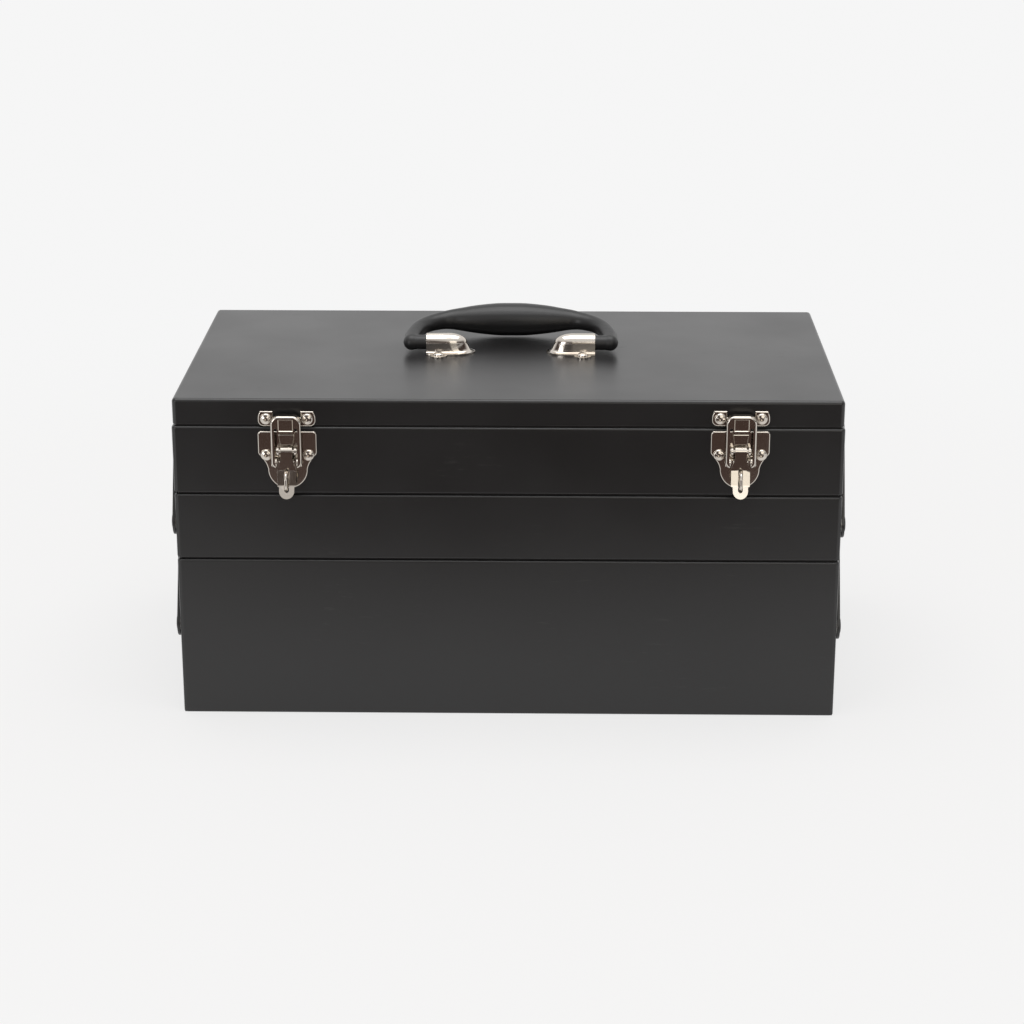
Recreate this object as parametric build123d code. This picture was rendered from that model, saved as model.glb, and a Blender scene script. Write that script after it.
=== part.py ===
from build123d import *
import os
from math import asin, cos, degrees, hypot, radians, sin, tan

# A cantilever case of sheet steel: a deep base, two trays that swing forward on side arms,
# and a hinged lid with a folding handle and two draw latches.
# Millimetres. X runs along the case, Y from front to back, Z up.
# The origin is the middle of the base's underside.

os.makedirs("parts", exist_ok=True)

# --- driving dimensions: the case ---
case_width = 460.0
case_depth = 250.0
sheet = 1.0
corner_radius = 3.0
shoulder_radius = 0.8
lower_edge_radius = 0.5
lip_round = 0.3
hem_depth = 7.0
tier_gap = 1.4
seat_clearance = 0.2
base_height = 115.2
middle_tray_height = 46.2
upper_tray_height = 47.4
lid_height = 18.0
lid_setback = 0.8
lid_edge_radius = 2.5
lid_hem_depth = 9.5
lid_hem_round = 0.4

# --- dividers ---
divider_sheet = 1.0
divider_end_clearance = 0.1
base_divider_height = 88.0
base_compartments = 2
middle_divider_height = 34.0
middle_compartments = 6
upper_divider_height = 36.0
upper_compartments = 6

# --- side arms and their rivets ---
arm_lean = 26.0
arm_thickness = 1.8
arm_spacing = 130.0
arm_edge_break = 0.35
arm_lower_end_radius = 9.5
arm_upper_end_radius = 14.0
front_pivot_inset = 12.0
base_pivot_height = 64.0
middle_tray_top_pivot_height = 31.4
middle_tray_low_pivot_height = 23.0
upper_tray_pivot_height = 31.8
washer_thickness = 0.7
washer_radius = 7.0
arm_side_clearance = 0.06
rivet_shoulder_radius = 3.0
rivet_running_clearance = 0.05
rivet_head_radius = 5.4
rivet_head_thickness = 0.9
rivet_head_round = 0.5
rivet_tail_radius = 2.0
rivet_tail_head_radius = 3.6
rivet_tail_head_thickness = 0.9

# --- lid hinge ---
hinge_length = 420.0
hinge_knuckle_count = 15
hinge_knuckle_gap = 0.5
hinge_knuckle_radius = 2.4
hinge_knuckle_clearance = 0.35
hinge_pin_radius = 1.2
hinge_pin_clearance = 0.07
hinge_pin_overhang = 0.8
leaf_thickness = 1.0
tray_leaf_height = 15.0
lid_leaf_height = 11.0

# --- handle and its brackets ---
bracket_outer_x = 61.0
bracket_length = 33.0
bracket_nose_length = 17.0
bracket_sheet = 1.2
bracket_flange_width = 3.0
bracket_ear_radius = 6.2
bracket_rivet_y = 12.4
bracket_rivet_inset = 9.0
handle_pivot_height = 7.5
handle_running_clearance = 0.3
handle_foot_radius = 5.3
handle_foot_overhang = 17.0
handle_trunnion_length = 17.0
handle_side_clearance = 0.3
handle_reach = 46.0
grip_height = 13.0
grip_centre_radius = 12.3
grip_end_radius = 7.0
grip_half_length = 46.0
leg_radius = 6.0
leg_bow_x = 65.5
leg_bow_reach = 31.0

# --- draw latches ---
left_latch_inset = 79.2
right_latch_inset = 71.4
left_latch_drop = 1.5
latch_sheet = 1.2
latch_edge_break = 0.35
plate_top_below_lid = 2.8
plate_half_width = 20.2
plate_shoulder_drop = 15.7
plate_bowl_radius = 13.7
plate_bowl_drop = 27.4
plate_corner_radius = 2.5
tongue_top_half_width = 5.6
tongue_low_half_width = 4.4
tongue_height = 8.6
tongue_depth = 4.0
lever_pivot_drop = 12.8
lever_pivot_depth = 5.4
lever_ear_inner = 5.3
lever_ear_radius = 3.0
lever_pin_radius = 1.2
pivot_pin_clearance = 0.05
pin_head_radius = 1.9
pin_head_thickness = 0.5
claw_pivot_offset = 8.0
claw_pin_radius = 1.1
knuckle_radius = 3.4
lever_waist_half_width = 3.9
lever_body_half_width = 6.4
lever_shoulder_drop = 10.0
lever_flare_drop = 13.4
lever_flare_length = 9.4
lever_flare_angle = 12.0
lever_tab_length = 8.6
lever_tab_angle = 24.0
lever_tab_half_width = 5.2
lever_flange_depth = 3.6
lever_slot_half_width = 1.6
lever_slot_top_drop = 11.6
lever_slot_low_drop = 27.4
staple_wire_radius = 1.0
staple_top_drop = 13.4
staple_low_drop = 24.9
staple_reach = 17.0
staple_corner_radius = 4.0
claw_half_width = 9.9
claw_window_half_width = 7.6
claw_top_above_pivot = 33.6
claw_web_height = 12.0
claw_corner_radius = 5.5
claw_depth = 8.2
claw_recess = 0.5
claw_recess_half_width = 4.9
claw_flange_depth = 4.2
claw_foot_half_height = 3.0
claw_foot_inner = 6.8
hook_clearance = 0.3
keeper_half_width = 19.8
keeper_height = 10.8
keeper_ear_inner = 9.4
keeper_ear_corner = 4.0
keeper_bridge_height = 6.4
keeper_nose_half_width = 5.2
keeper_nose_depth = 3.0
keeper_above_lid_edge = 0.4
latch_rivet_radius = 4.0
latch_rivet_dome = 2.0
latch_rivet_shank_radius = 1.6
latch_rivet_tail_radius = 2.8
latch_rivet_tail_thickness = 0.9
plate_rivet_x = 14.5
plate_rivet_drop = 16.8
keeper_rivet_x = 14.1

# --- fits within one rigid sub-assembly ---
hole_clearance = 0.05

# --- worked out from the values above ---
wall_x = case_width / 2
wall_y = case_depth / 2
inner_x = wall_x - sheet
inner_y = wall_y - sheet
middle_low = base_height + tier_gap
middle_high = middle_low + middle_tray_height
upper_low = middle_high + tier_gap
upper_high = upper_low + upper_tray_height
lid_low = upper_high + tier_gap
lid_high = lid_low + lid_height
lid_x = wall_x - lid_setback
lid_y = wall_y - lid_setback

front_pivot_y = -wall_y + front_pivot_inset
base_pivot_z = base_pivot_height
middle_top_pivot_z = middle_low + middle_tray_top_pivot_height
middle_low_pivot_z = middle_low + middle_tray_low_pivot_height
upper_pivot_z = upper_low + upper_tray_pivot_height
lower_lean_shift = (middle_top_pivot_z - base_pivot_z) * tan(radians(arm_lean))
upper_lean_shift = (upper_pivot_z - middle_low_pivot_z) * tan(radians(arm_lean))

arm_inner_x = wall_x + washer_thickness + arm_side_clearance
arm_outer_x = arm_inner_x + arm_thickness
rivet_head_x = arm_outer_x + arm_side_clearance

hinge_y = wall_y + hinge_knuckle_radius
hinge_z = (upper_high + lid_low) / 2

handle_pivot_z = lid_high + handle_pivot_height
handle_tilt = degrees(asin((grip_height - handle_pivot_height) / handle_reach))

front_rivet_pairs = (front_pivot_y, front_pivot_y + arm_spacing)


def save(shape, name):
    export_step(shape, "parts/" + name + ".step")


def block(low, high):
    size = [high[i] - low[i] for i in range(3)]
    middle = [(high[i] + low[i]) / 2 for i in range(3)]
    return Pos(*middle) * Box(*size)


def rod_x(radius, x_from, x_to, y, z):
    rod = Cylinder(radius, x_to - x_from, align=(Align.CENTER, Align.CENTER, Align.MIN))
    return Pos(x_from, y, z) * Rot(0, 90, 0) * rod


def upright_block(half_x, half_y, radius, low, high):
    return Pos(0, 0, low) * extrude(RectangleRounded(2 * half_x, 2 * half_y, radius), high - low)


def highest_edges(shape):
    return shape.edges().group_by(Axis.Z)[-1]


def lowest_edges(shape):
    return shape.edges().group_by(Axis.Z)[0]


def both_sides(shape):
    return [shape, mirror(shape, about=Plane.YZ)]


# --- the three open tiers ---

def tier_walls(low, high, pivots):
    """One strip of sheet round all four sides, its rim folded inward into a raised lip."""
    outer = upright_block(wall_x, wall_y, corner_radius, low, high)
    outer = fillet(highest_edges(outer), shoulder_radius)
    outer = fillet(lowest_edges(outer), lower_edge_radius)
    lip_top = high + tier_gap - seat_clearance
    lip = upright_block(inner_x, inner_y, corner_radius - sheet, high - hem_depth, lip_top)
    lip = fillet(highest_edges(lip), lip_round)
    hollow = upright_block(inner_x, inner_y, corner_radius - sheet, low - 1, high - hem_depth)
    mouth_radius = corner_radius - 2 * sheet
    mouth = upright_block(inner_x - sheet, inner_y - sheet, mouth_radius, high - hem_depth, lip_top + 1)
    walls = outer + lip - hollow - mouth
    for y, z in pivots:
        walls -= rod_x(rivet_tail_radius + hole_clearance, -wall_x - 1, wall_x + 1, y, z)
    return walls


def tier_floor(low):
    return upright_block(inner_x, inner_y, corner_radius - sheet, low, low + sheet)


def cross_dividers(low, height, compartments, y_from, y_to):
    """Upright sheets that run from front to back, evenly spaced along the tier."""
    plates = []
    for index in range(1, compartments):
        x = -inner_x + index * 2 * inner_x / compartments
        half = divider_sheet / 2
        plates.append(block((x - half, y_from, low + sheet), (x + half, y_to, low + sheet + height)))
    return plates


# --- arms, rivets and washers ---

def arm(low_y, low_z, high_y, high_z):
    """A flat bar with round ends, wider at the top, on the right-hand side of the case."""
    span = hypot(high_y - low_y, high_z - low_z)
    along = ((high_y - low_y) / span, (high_z - low_z) / span)
    across = (along[1], -along[0])
    slope = (arm_lower_end_radius - arm_upper_end_radius) / span
    reach = (1 - slope * slope) ** 0.5
    corners = []
    for centre, radius, sign in (
        ((low_y, low_z), arm_lower_end_radius, 1),
        ((high_y, high_z), arm_upper_end_radius, 1),
        ((high_y, high_z), arm_upper_end_radius, -1),
        ((low_y, low_z), arm_lower_end_radius, -1),
    ):
        y = centre[0] + radius * (slope * along[0] + sign * reach * across[0])
        z = centre[1] + radius * (slope * along[1] + sign * reach * across[1])
        corners.append((y, z))
    outline = Polygon(*corners, align=None)
    outline += Pos(low_y, low_z) * Circle(arm_lower_end_radius)
    outline += Pos(high_y, high_z) * Circle(arm_upper_end_radius)
    bar = extrude(Plane.YZ.offset(arm_inner_x) * outline, arm_thickness)
    bar = chamfer(bar.edges().group_by(Axis.X)[-1], arm_edge_break)
    hole = rivet_shoulder_radius + rivet_running_clearance
    for y, z in ((low_y, low_z), (high_y, high_z)):
        bar -= rod_x(hole, arm_inner_x - 1, arm_outer_x + 1, y, z)
    return bar


def arm_rivet(y, z):
    """A shoulder rivet through the right-hand wall: the arm turns on its shoulder."""
    head = rod_x(rivet_head_radius, rivet_head_x, rivet_head_x + rivet_head_thickness, y, z)
    head = fillet(head.edges().group_by(Axis.X)[-1], rivet_head_round)
    shoulder = rod_x(rivet_shoulder_radius, wall_x, rivet_head_x, y, z)
    tail = rod_x(rivet_tail_radius, inner_x - rivet_tail_head_thickness, wall_x, y, z)
    closing_head = rod_x(rivet_tail_head_radius, inner_x - rivet_tail_head_thickness, inner_x, y, z)
    return head + shoulder + tail + closing_head


def arm_washer(y, z):
    hole = rivet_shoulder_radius + hole_clearance
    washer = rod_x(washer_radius, wall_x, wall_x + washer_thickness, y, z)
    return washer - rod_x(hole, wall_x - 1, wall_x + 2, y, z)


def save_rivets_and_washers(tier, pivots):
    rivets = [piece for y, z in pivots for piece in both_sides(arm_rivet(y, z))]
    washers = [piece for y, z in pivots for piece in both_sides(arm_washer(y, z))]
    save(Compound(children=rivets), tier + "_arm_rivets")
    save(Compound(children=washers), tier + "_arm_washers")


base_pivots = [(y, base_pivot_z) for y in front_rivet_pairs]
middle_top_pivots = [(y + lower_lean_shift, middle_top_pivot_z) for y in front_rivet_pairs]
middle_low_pivots = [(y, middle_low_pivot_z) for y in front_rivet_pairs]
upper_pivots = [(y + upper_lean_shift, upper_pivot_z) for y in front_rivet_pairs]

# --- latch frame: u across, z up, depth outward from the upper tray's front ---


class LatchFrame:
    """Places latch pieces: u is measured from the latch's middle, depth from the tray's front."""

    def __init__(self, x, drop):
        self.x = x
        self.top = lid_low - plate_top_below_lid - drop
        self.keeper_low = lid_low + keeper_above_lid_edge - drop
        self.pivot_z = self.top - lever_pivot_drop
        self.claw_z = self.pivot_z - claw_pivot_offset

    def y(self, depth):
        return -wall_y - depth

    def plane(self, depth):
        return Plane(origin=(self.x, self.y(depth), 0), x_dir=(1, 0, 0), z_dir=(0, -1, 0))

    def plate(self, outline, depth, thickness):
        return extrude(self.plane(depth) * outline, thickness)

    def block(self, u, z, depth):
        low = (self.x + u[0], self.y(depth[1]), z[0])
        high = (self.x + u[1], self.y(depth[0]), z[1])
        return block(low, high)

    def rod(self, radius, u, z, depth):
        return rod_x(radius, self.x + u[0], self.x + u[1], self.y(depth), z)


latches = {
    "left": LatchFrame(left_latch_inset - wall_x, left_latch_drop),
    "right": LatchFrame(wall_x - right_latch_inset, 0.0),
}


def dome_rivet(shank, wall_depth):
    """A domed rivet along +Z: the head's underside at z = 0, the shank through wall_depth below."""
    upward = (Align.CENTER, Align.CENTER, Align.MIN)
    downward = (Align.CENTER, Align.CENTER, Align.MAX)
    head = Cylinder(latch_rivet_radius, latch_rivet_dome, align=upward)
    head = fillet(highest_edges(head), 0.9 * latch_rivet_dome)
    stem_length = wall_depth + latch_rivet_tail_thickness
    stem = Cylinder(shank, stem_length, align=downward)
    tail = Cylinder(latch_rivet_tail_radius, latch_rivet_tail_thickness, align=downward)
    return head + stem + Pos(0, 0, -wall_depth) * tail


def front_rivet(latch, u, z, face_depth, wall_depth):
    place = latch.plane(face_depth) * Pos(u, z, 0)
    return place * dome_rivet(latch_rivet_shank_radius, wall_depth)


def front_hole(latch, u, z):
    place = latch.plane(-6) * Pos(u, z, 0)
    upward = (Align.CENTER, Align.CENTER, Align.MIN)
    hole = Cylinder(latch_rivet_shank_radius + hole_clearance, 12, align=upward)
    return place * hole


# --- latch pieces ---

def plate_rivet_places(latch):
    return [(sign * plate_rivet_x, latch.top - plate_rivet_drop) for sign in (-1, 1)]


def keeper_rivet_places(latch):
    return [(sign * keeper_rivet_x, latch.keeper_low + keeper_height / 2) for sign in (-1, 1)]


def latch_plate(latch):
    """The shield on the tray's front, with its raised tongue and the two ears of the lever."""
    top = latch.top
    shoulder = top - plate_shoulder_drop
    bowl = top - plate_bowl_drop
    outline = Polygon(
        (-plate_half_width, top),
        (-plate_half_width, shoulder),
        (-plate_bowl_radius, bowl),
        (plate_bowl_radius, bowl),
        (plate_half_width, shoulder),
        (plate_half_width, top),
        align=None,
    )
    outline = fillet(outline.vertices().group_by(Axis.Y)[-1], plate_corner_radius)
    outline += Pos(0, bowl) * Circle(plate_bowl_radius)
    plate = latch.plate(outline, 0, latch_sheet)
    plate = chamfer(plate.edges().group_by(Axis.Y)[0], latch_edge_break)
    tongue = Polygon(
        (-tongue_top_half_width, top),
        (-tongue_low_half_width, top - tongue_height),
        (tongue_low_half_width, top - tongue_height),
        (tongue_top_half_width, top),
        align=None,
    )
    plate += latch.plate(tongue, tongue_depth, latch_sheet)
    root = (-tongue_top_half_width, tongue_top_half_width)
    plate += latch.block(root, (top - latch_sheet, top), (0, tongue_depth + latch_sheet))
    for sign in (-1, 1):
        u = sorted((sign * lever_ear_inner, sign * (lever_ear_inner + latch_sheet)))
        ear = latch.rod(lever_ear_radius, u, latch.pivot_z, lever_pivot_depth)
        z = (latch.pivot_z - lever_ear_radius, latch.pivot_z + lever_ear_radius)
        plate += ear + latch.block(u, z, (latch_sheet / 2, lever_pivot_depth))
    reach = lever_ear_inner + 2 * latch_sheet
    bore = lever_pin_radius + hole_clearance
    plate -= latch.rod(bore, (-reach, reach), latch.pivot_z, lever_pivot_depth)
    for u, z in plate_rivet_places(latch):
        plate -= front_hole(latch, u, z)
    for drop in (staple_top_drop, staple_low_drop):
        hole = Cylinder(staple_wire_radius + hole_clearance, 4 * latch_sheet)
        plate -= latch.plane(0) * Pos(0, latch.pivot_z - drop, 0) * hole
    return plate


def staple(latch):
    """The padlock eye: a wire loop that stands out through the lever's slot."""
    z_top = latch.pivot_z - staple_top_drop
    z_low = latch.pivot_z - staple_low_drop
    corners = [(0, z_top), (staple_reach, z_top), (staple_reach, z_low), (0, z_low)]
    points = [(latch.x, latch.y(depth), z) for depth, z in corners]
    path = FilletPolyline(*points, radius=staple_corner_radius)
    section = Plane(origin=path @ 0, z_dir=path % 0) * Circle(staple_wire_radius)
    return sweep(section, path)


def pivot_pin(latch, radius, half_length, z):
    """A plain pin with a flat head at each end."""
    pin = latch.rod(radius, (-half_length, half_length), z, lever_pivot_depth)
    outer = half_length + pin_head_thickness
    pin += latch.rod(pin_head_radius, (half_length, outer), z, lever_pivot_depth)
    pin += latch.rod(pin_head_radius, (-outer, -half_length), z, lever_pivot_depth)
    return pin


def lever_side_points():
    """The lever's middle line seen from the side: (outward, down) from its pivot."""
    plate = knuckle_radius - latch_sheet / 2
    flare = radians(lever_flare_angle)
    tab = radians(lever_tab_angle)
    bend = (plate, lever_flare_drop)
    edge = (bend[0] + lever_flare_length * sin(flare), bend[1] + lever_flare_length * cos(flare))
    end = (edge[0] + lever_tab_length * sin(tab), edge[1] + lever_tab_length * cos(tab))
    return (plate, 0.0), bend, edge, end


def lever_strip(latch):
    """The bent strip that the lever is cut from, as wide as the lever's body."""
    start, bend, edge, end = lever_side_points()
    half = latch_sheet / 2
    angles = (0.0, lever_flare_angle / 2, (lever_flare_angle + lever_tab_angle) / 2, lever_tab_angle)
    outer = []
    inner = []
    for (out, down), angle in zip((start, bend, edge, end), angles):
        shift = (half * cos(radians(angle)), -half * sin(radians(angle)))
        outer.append((out + shift[0], down + shift[1]))
        inner.append((out - shift[0], down - shift[1]))
    loop = outer + inner[::-1]
    points = [(latch.y(lever_pivot_depth + out), latch.pivot_z - down) for out, down in loop]
    section = Plane.YZ.offset(latch.x - lever_body_half_width) * Polygon(*points, align=None)
    return extrude(section, 2 * lever_body_half_width)


def lever(latch):
    """A strip curled round the pivot pin, waisted, flared at its end and slotted for the staple."""
    start, bend, edge, end = lever_side_points()
    z = latch.pivot_z
    waist = lever_waist_half_width
    body = lever_body_half_width
    slope = body - waist
    front = Polygon(
        (-waist, z + 1),
        (-waist, z - lever_shoulder_drop + slope),
        (-body, z - lever_shoulder_drop),
        (-body, z - edge[1]),
        (body, z - edge[1]),
        (body, z - lever_shoulder_drop),
        (waist, z - lever_shoulder_drop + slope),
        (waist, z + 1),
        align=None,
    )
    tab_round = z - end[1] + lever_tab_half_width
    tab_middle = (tab_round + z - edge[1]) / 2
    tab_straight = edge[1] - (z - tab_round)
    front += Pos(0, tab_middle) * Rectangle(2 * lever_tab_half_width, tab_straight)
    front += Pos(0, tab_round) * Circle(lever_tab_half_width)
    slot_top = z - lever_slot_top_drop - lever_slot_half_width
    slot_low = z - lever_slot_low_drop + lever_slot_half_width
    slot = Pos(0, (slot_top + slot_low) / 2) * Rectangle(2 * lever_slot_half_width, slot_top - slot_low)
    slot += Pos(0, slot_top) * Circle(lever_slot_half_width)
    slot += Pos(0, slot_low) * Circle(lever_slot_half_width)
    piece = lever_strip(latch) & latch.plate(front - slot, 0, 3 * staple_reach)
    piece += latch.rod(knuckle_radius, (-waist, waist), z, lever_pivot_depth)
    for sign in (-1, 1):
        piece += lever_flange(latch, sign)
    for radius, reach, height in (
        (lever_pin_radius, waist + 1, z),
        (claw_pin_radius, body + 1, latch.claw_z),
    ):
        bore = radius + pivot_pin_clearance
        piece -= latch.rod(bore, (-reach, reach), height, lever_pivot_depth)
    return piece


def lever_flange(latch, sign):
    """One side of the lever, turned back towards the tray and bored for the claw's pin."""
    start, bend, edge, end = lever_side_points()
    low = edge[1] - latch_sheet
    around = claw_pin_radius + latch_sheet
    flange_low = lever_flare_drop + lever_flange_depth
    loop = [
        (0, claw_pivot_offset - around),
        (start[0], claw_pivot_offset - around),
        bend,
        (bend[0] + (low - bend[1]) * tan(radians(lever_flare_angle)), low),
        (0, low),
        (-around, flange_low),
        (-around, claw_pivot_offset),
    ]
    points = [(latch.y(lever_pivot_depth + out), latch.pivot_z - down) for out, down in loop]
    inner = lever_body_half_width - latch_sheet
    plane = Plane.YZ.offset(latch.x + min(sign * inner, sign * lever_body_half_width))
    flange = extrude(plane * Polygon(*points, align=None), latch_sheet)
    u = sorted((sign * inner, sign * lever_body_half_width))
    return flange + latch.rod(around, u, latch.claw_z, lever_pivot_depth)


def claw(latch):
    """The hooked frame: two rails joined by a web whose top edge turns in above the keeper."""
    top = latch.claw_z + claw_top_above_pivot
    foot = latch.claw_z - claw_foot_half_height
    web_low = top - claw_web_height
    outline = Pos(0, (top + foot) / 2) * Rectangle(2 * claw_half_width, top - foot)
    outline = fillet(outline.vertices().group_by(Axis.Y)[-1], claw_corner_radius)
    outline -= Pos(0, (web_low + foot - 1) / 2) * Rectangle(2 * claw_window_half_width, web_low - foot + 1)
    piece = latch.plate(outline, claw_depth, latch_sheet)
    front_edges = piece.edges().group_by(Axis.Y)[0]
    piece = chamfer(front_edges, latch_edge_break)
    recess_u = (-claw_recess_half_width, claw_recess_half_width)
    recess_z = (web_low + latch_sheet, top - 2 * latch_sheet)
    front = claw_depth + latch_sheet
    piece -= latch.block(recess_u, recess_z, (front - claw_recess, front + 1))
    hook_half = claw_half_width - claw_corner_radius
    hook_tip = keeper_nose_depth + hook_clearance
    piece += latch.block((-hook_half, hook_half), (top - latch_sheet, top), (hook_tip, claw_depth))
    rail_top = top - claw_corner_radius
    for sign in (-1, 1):
        rail = sorted((sign * (claw_half_width - latch_sheet), sign * claw_half_width))
        piece += latch.block(rail, (latch.claw_z, rail_top), (claw_flange_depth, claw_depth))
        boss = sorted((sign * claw_foot_inner, sign * claw_half_width))
        piece += latch.rod(claw_foot_half_height, boss, latch.claw_z, lever_pivot_depth)
    bore = claw_pin_radius + pivot_pin_clearance
    reach = claw_half_width + 1
    return piece - latch.rod(bore, (-reach, reach), latch.claw_z, lever_pivot_depth)


def keeper(latch):
    """The catch on the lid's front: two riveted ears, a bridge and the nose that the claw holds."""
    low = latch.keeper_low
    bridge = Rectangle(2 * keeper_ear_inner + 2, keeper_bridge_height)
    outline = Pos(0, low + keeper_bridge_height / 2) * bridge
    ear_width = keeper_half_width - keeper_ear_inner
    for sign in (-1, 1):
        middle = sign * (keeper_ear_inner + keeper_half_width) / 2
        ear = Pos(middle, low + keeper_height / 2) * Rectangle(ear_width, keeper_height)
        outer_low = ear.vertices().sort_by(Axis.Y)[:2].sort_by(Axis.X)[0 if sign < 0 else -1]
        ear = fillet(outer_low, keeper_ear_corner)
        outline += ear
    piece = latch.plate(outline, -lid_setback, latch_sheet)
    piece = chamfer(piece.edges().group_by(Axis.Y)[0], latch_edge_break)
    face = latch_sheet - lid_setback
    nose_u = (-keeper_nose_half_width, keeper_nose_half_width)
    nose_z = (low + latch_sheet / 2, low + keeper_bridge_height)
    piece += latch.block(nose_u, nose_z, (face - latch_sheet / 2, keeper_nose_depth))
    for u, z in keeper_rivet_places(latch):
        piece -= front_hole(latch, u, z)
    return piece


# --- lid, hinge, handle ---

bracket_height = handle_pivot_height + handle_foot_radius + handle_running_clearance + bracket_sheet
bracket_rivet_x = bracket_outer_x - bracket_rivet_inset


def lid_shell():
    """A shallow pan turned over: rounded top edges and skirts hemmed inward at their lower edge."""
    shell = upright_block(lid_x, lid_y, corner_radius, lid_low, lid_high)
    shell = fillet(highest_edges(shell), lid_edge_radius)
    shell = fillet(lowest_edges(shell), lid_hem_round)
    hem_top = lid_low + lid_hem_depth
    inner_radius = corner_radius - sheet
    hollow = upright_block(lid_x - sheet, lid_y - sheet, inner_radius, hem_top, lid_high - sheet)
    hollow = fillet(highest_edges(hollow), lid_edge_radius - sheet)
    mouth_x = lid_x - 2 * sheet
    mouth_y = lid_y - 2 * sheet
    shell -= hollow + upright_block(mouth_x, mouth_y, inner_radius - sheet, lid_low - 1, hem_top)
    for x in (-bracket_rivet_x, bracket_rivet_x):
        for y in (-bracket_rivet_y, bracket_rivet_y):
            hole = Cylinder(latch_rivet_shank_radius + hole_clearance, 4 * sheet)
            shell -= Pos(x, y, lid_high) * hole
    for latch in latches.values():
        for u, z in keeper_rivet_places(latch):
            shell -= front_hole(latch, u, z)
    return shell


def knuckle_spans(first):
    """Every second knuckle along the hinge, as (from, to) along X."""
    pitch = hinge_length / hinge_knuckle_count
    start = -hinge_length / 2
    spans = []
    for index in range(first, hinge_knuckle_count, 2):
        low = start + index * pitch + hinge_knuckle_gap / 2
        spans.append((low, low + pitch - hinge_knuckle_gap))
    return spans


def rolled_leaf(flat, own_spans, other_spans):
    """Cuts a flat leaf clear of the other leaf's knuckles and adds its own."""
    clear = hinge_knuckle_radius + hinge_knuckle_clearance
    for low, high in other_spans:
        flat -= rod_x(clear, low - hinge_knuckle_gap, high + hinge_knuckle_gap, hinge_y, hinge_z)
    for low, high in own_spans:
        flat += rod_x(hinge_knuckle_radius, low, high, hinge_y, hinge_z)
    bore = hinge_pin_radius + hinge_pin_clearance
    half = hinge_length / 2 + 1
    return flat - rod_x(bore, -half, half, hinge_y, hinge_z)


def tray_leaf():
    half = hinge_length / 2
    flat = block((-half, wall_y, hinge_z - tray_leaf_height), (half, wall_y + leaf_thickness, hinge_z))
    return rolled_leaf(flat, knuckle_spans(0), knuckle_spans(1))


def lid_leaf():
    half = hinge_length / 2
    shelf_top = hinge_z + hinge_knuckle_radius
    shelf_low = shelf_top - leaf_thickness
    flat = block((-half, lid_y, shelf_low), (half, lid_y + leaf_thickness, shelf_low + lid_leaf_height))
    flat += block((-half, lid_y, shelf_low), (half, hinge_y, shelf_top))
    return rolled_leaf(flat, knuckle_spans(1), knuckle_spans(0))


def hinge_pin():
    half = hinge_length / 2 + hinge_pin_overhang
    return rod_x(hinge_pin_radius, -half, half, hinge_y, hinge_z)


def bracket_form(half_width, height, inner_x_end, nose_length, outer_x_end):
    """A round-topped tunnel along X whose inner end slopes down to the lid."""
    arch = Pos(0, lid_high + (height - half_width) / 2) * Rectangle(2 * half_width, height - half_width)
    arch += Pos(0, lid_high + height - half_width) * Circle(half_width)
    tunnel = extrude(Plane.YZ.offset(inner_x_end) * arch, outer_x_end - inner_x_end)
    nose_x = inner_x_end + nose_length
    side = Pos(nose_x, lid_high) * Ellipse(nose_length, height)
    side += Pos((nose_x + outer_x_end) / 2, lid_high) * Rectangle(outer_x_end - nose_x, 2 * height)
    slab = extrude(Plane.XZ * side, 2 * half_width, both=True)
    ground = block(
        (inner_x_end - 1, -2 * half_width, lid_high),
        (outer_x_end, 2 * half_width, lid_high + 2 * height),
    )
    return tunnel & slab & ground


def right_bracket():
    """A pressed saddle riveted to the lid; the handle's trunnion turns under its arch."""
    inner_end = bracket_outer_x - bracket_length
    half = handle_foot_radius + handle_running_clearance + bracket_sheet
    form = bracket_form(half, bracket_height, inner_end, bracket_nose_length, bracket_outer_x)
    flange_low = inner_end - bracket_flange_width
    flange_half = half + bracket_flange_width
    middle = (flange_low + bracket_outer_x) / 2
    length = bracket_outer_x - flange_low
    outline = Pos(middle, 0) * Rectangle(length, 2 * flange_half)
    outline = fillet(outline.vertices().group_by(Axis.X)[0], flange_half - bracket_flange_width)
    for y in (-bracket_rivet_y, bracket_rivet_y):
        outline += Pos(bracket_rivet_x, y) * Circle(bracket_ear_radius)
        outline += Pos(bracket_rivet_x, y / 2) * Rectangle(2 * bracket_ear_radius, abs(y))
    flange = extrude(Plane.XY.offset(lid_high) * outline, bracket_sheet)
    form += chamfer(flange.edges().group_by(Axis.Z)[-1], latch_edge_break)
    hollow_half = half - bracket_sheet
    hollow = bracket_form(
        hollow_half,
        bracket_height - bracket_sheet,
        inner_end + bracket_sheet,
        bracket_nose_length - bracket_sheet,
        bracket_outer_x + 1,
    )
    form -= hollow
    for y in (-bracket_rivet_y, bracket_rivet_y):
        hole = Cylinder(latch_rivet_shank_radius + hole_clearance, 4 * bracket_sheet)
        form -= Pos(bracket_rivet_x, y, lid_high) * hole
    return form


def bracket_rivets():
    pieces = []
    for x in (-bracket_rivet_x, bracket_rivet_x):
        for y in (-bracket_rivet_y, bracket_rivet_y):
            rivet = dome_rivet(latch_rivet_shank_radius, bracket_sheet + sheet)
            pieces.append(Pos(x, y, lid_high + bracket_sheet) * rivet)
    return pieces


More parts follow.
